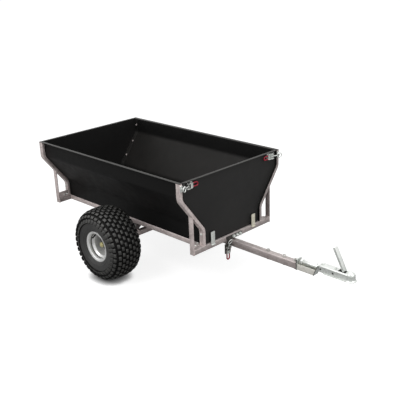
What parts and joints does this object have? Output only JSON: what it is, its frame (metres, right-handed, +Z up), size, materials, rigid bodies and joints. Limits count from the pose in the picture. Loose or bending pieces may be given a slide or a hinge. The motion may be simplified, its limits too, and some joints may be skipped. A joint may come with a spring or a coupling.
{
  "type": "all-terrain vehicle trailer",
  "caption": "Two-wheeled tipping utility trailer: flared black sheet tub on a galvanised tube frame, knobby tyres, lift-out front gate, draw latches and a swivelling ball coupler.",
  "frame": {"origin": "middle of the bounding box in plan, on the ground under the tyres", "axes": "+X forward along the drawbar towards the coupler, +Y to the trailer's left, +Z up"},
  "size_m": [2.694, 1.394, 0.892],
  "materials": {
    "galvanised_steel": "hot-dip galvanised, dull",
    "black_powder_coat": "satin powder coat",
    "zinc_plate": "bright zinc plate",
    "yellow_zinc": "yellow zinc plate",
    "dark_steel": "dark plated steel",
    "rim_silver": "silver paint",
    "tyre_rubber": "black rubber"
  },
  "bodies": {
    "chassis": {"drawbar_tube": "galvanised_steel", "drawbar_end_plate": "dark_steel", "drawbar_head": "zinc_plate", "head_front_plate": "dark_steel", "swivel_sleeve": "dark_steel", "axle_beam": "galvanised_steel", "stub_axle_left": "galvanised_steel", "stub_axle_right": "galvanised_steel", "pivot_lug_left": "galvanised_steel", "pivot_lug_right": "galvanised_steel", "pivot_bolt_left": "zinc_plate", "pivot_bolt_right": "zinc_plate", "axle_nut_left": "yellow_zinc", "axle_nut_right": "yellow_zinc", "latch_base_drawbar": "zinc_plate"},
    "tub": {"rail_left": "galvanised_steel", "rail_right": "galvanised_steel", "cross_member_front": "galvanised_steel", "cross_member_rear": "galvanised_steel", "post_front_left": "galvanised_steel", "post_front_right": "galvanised_steel", "post_rear_left": "galvanised_steel", "post_rear_right": "galvanised_steel", "upright_front_left": "galvanised_steel", "upright_front_right": "galvanised_steel", "upright_rear_left": "galvanised_steel", "upright_rear_right": "galvanised_steel", "gusset_front_left": "galvanised_steel", "gusset_front_right": "galvanised_steel", "gusset_rear_left": "galvanised_steel", "gusset_rear_right": "galvanised_steel", "pivot_ear_left": "galvanised_steel", "pivot_ear_right": "galvanised_steel", "side_panel_left": "black_powder_coat", "side_panel_right": "black_powder_coat", "rear_panel": "black_powder_coat", "floor_sheet": "black_powder_coat", "gate_bracket_left": "yellow_zinc", "gate_bracket_right": "zinc_plate", "keeper_left": "zinc_plate", "keeper_right": "zinc_plate", "latch_hook": "zinc_plate"},
    "gate": {"gate_panel": "black_powder_coat", "latch_base_gate_left": "zinc_plate", "latch_base_gate_right": "zinc_plate"},
    "gate_lever_left": {"latch_lever_gate_left": "zinc_plate"},
    "gate_lever_right": {"latch_lever_gate_right": "zinc_plate"},
    "gate_loop_left": {"latch_loop_gate_left": "zinc_plate"},
    "gate_loop_right": {"latch_loop_gate_right": "zinc_plate"},
    "drawbar_lever": {"latch_lever_drawbar": "zinc_plate"},
    "drawbar_loop": {"latch_loop_drawbar": "zinc_plate"},
    "wheel_left": {"tyre_left": "tyre_rubber", "rim_left": "rim_silver"},
    "wheel_right": {"tyre_right": "tyre_rubber", "rim_right": "rim_silver"},
    "coupler": {"swivel_shaft": "zinc_plate", "swivel_nut": "zinc_plate", "coupler_shell": "zinc_plate"},
    "coupler_lever": {"coupler_lever": "zinc_plate"},
    "coupler_jaw": {"coupler_jaw": "dark_steel"}
  },
  "joints": [
    {"name": "tub_tip", "type": "hinge", "parent": "chassis", "child": "tub", "pos_m": [-0.47, 0, 0.32], "axis": [0, 1, 0], "range_deg": [-21, 0]},
    {"name": "gate_lift", "type": "slide", "parent": "tub", "child": "gate", "axis": [0, 0, 1], "range_m": [0, 0.53]},
    {"name": "gate_lever_left_turn", "type": "hinge", "parent": "gate", "child": "gate_lever_left", "pos_m": [0.3158, 0.4417, 0.8565], "axis": [0, 0, 1], "range_deg": [0, 120]},
    {"name": "gate_loop_left_turn", "type": "hinge", "parent": "gate_lever_left", "child": "gate_loop_left", "pos_m": [0.3078, 0.4247, 0.8565], "axis": [0, 0, 1], "range_deg": [-120, 0]},
    {"name": "gate_lever_right_turn", "type": "hinge", "parent": "gate", "child": "gate_lever_right", "pos_m": [0.3158, -0.4417, 0.8565], "axis": [0, 0, -1], "range_deg": [0, 120]},
    {"name": "gate_loop_right_turn", "type": "hinge", "parent": "gate_lever_right", "child": "gate_loop_right", "pos_m": [0.3078, -0.4247, 0.8565], "axis": [0, 0, -1], "range_deg": [-120, 0]},
    {"name": "drawbar_lever_turn", "type": "hinge", "parent": "chassis", "child": "drawbar_lever", "pos_m": [0.3175, -0.065, 0.292], "axis": [0, -1, 0], "range_deg": [0, 120]},
    {"name": "drawbar_loop_turn", "type": "hinge", "parent": "drawbar_lever", "child": "drawbar_loop", "pos_m": [0.3095, -0.065, 0.275], "axis": [0, -1, 0], "range_deg": [-120, 0]},
    {"name": "wheel_left_roll", "type": "hinge", "parent": "chassis", "child": "wheel_left", "pos_m": [-0.45, 0.57, 0.27881], "axis": [0, 1, 0], "continuous": true},
    {"name": "wheel_right_roll", "type": "hinge", "parent": "chassis", "child": "wheel_right", "pos_m": [-0.45, -0.57, 0.27881], "axis": [0, 1, 0], "continuous": true},
    {"name": "coupler_swivel", "type": "hinge", "parent": "chassis", "child": "coupler", "pos_m": [1, 0, 0.345], "axis": [1, 0, 0], "range_deg": [-35, 35]},
    {"name": "coupler_lever_turn", "type": "hinge", "parent": "coupler", "child": "coupler_lever", "pos_m": [1.256, 0, 0.3885], "axis": [0, 1, 0], "range_deg": [-42, 0]},
    {"name": "coupler_jaw_turn", "type": "hinge", "parent": "coupler", "child": "coupler_jaw", "pos_m": [1.266, 0, 0.368], "axis": [0, 1, 0], "range_deg": [-4.2, 0]}
  ],
  "couplings": [
    {"joint": "gate_loop_left_turn", "follows": "gate_lever_left_turn", "ratio": -1},
    {"joint": "gate_loop_right_turn", "follows": "gate_lever_right_turn", "ratio": -1},
    {"joint": "drawbar_loop_turn", "follows": "drawbar_lever_turn", "ratio": -1},
    {"joint": "coupler_jaw_turn", "follows": "coupler_lever_turn", "ratio": 0.1}
  ]
}
